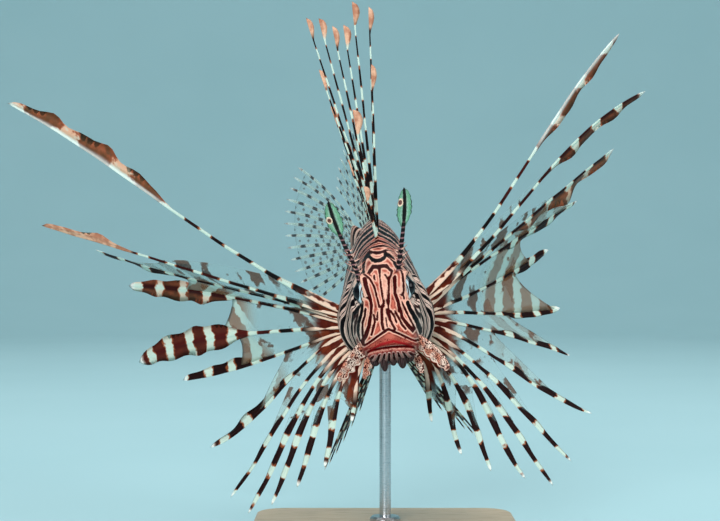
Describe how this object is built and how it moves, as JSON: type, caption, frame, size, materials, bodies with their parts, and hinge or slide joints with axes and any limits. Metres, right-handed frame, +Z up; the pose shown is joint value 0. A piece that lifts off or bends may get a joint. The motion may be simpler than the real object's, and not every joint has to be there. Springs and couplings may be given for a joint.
{
  "type": "lionfish model",
  "caption": "Life-size model of a red lionfish hovering head-on with its fins spread, held by a rod on a flat base.",
  "frame": {"origin": "centre of the underside of the stand's base, on the floor", "axes": "+Z up. The fish faces -Y, so +X is its own left side, and its tail swings towards -X"},
  "size_m": [0.3478, 0.2678, 0.2886],
  "materials": {
    "skin": "painted skin, slightly moist",
    "flaps": "painted skin flaps",
    "fins": "thin painted membrane over rays",
    "eye": "clear polished",
    "stand_wood": "satin lacquer",
    "stand_steel": "brushed"
  },
  "bodies": {
    "root": {"head": "skin", "lower_jaw": "skin", "trunk_front": "skin", "trunk_rear": "skin", "tail_stalk": "skin", "gill_cover_right": "skin", "gill_cover_left": "skin", "eye_right": "eye", "eye_left": "eye", "eye_tentacle_right": "flaps", "eye_tentacle_left": "flaps", "mouth_flap_right": "flaps", "mouth_flap_left": "flaps", "jaw_flap_right": "flaps", "jaw_flap_left": "flaps", "dorsal_fin_spiny": "fins", "dorsal_fin_soft": "fins", "anal_fin": "fins", "caudal_fin": "fins", "pelvic_fin_right": "fins", "pelvic_fin_left": "fins", "pectoral_fin_right": "fins", "pectoral_fin_left": "fins", "stand_base": "stand_wood", "stand_rod": "stand_steel"}
  },
  "joints": []
}
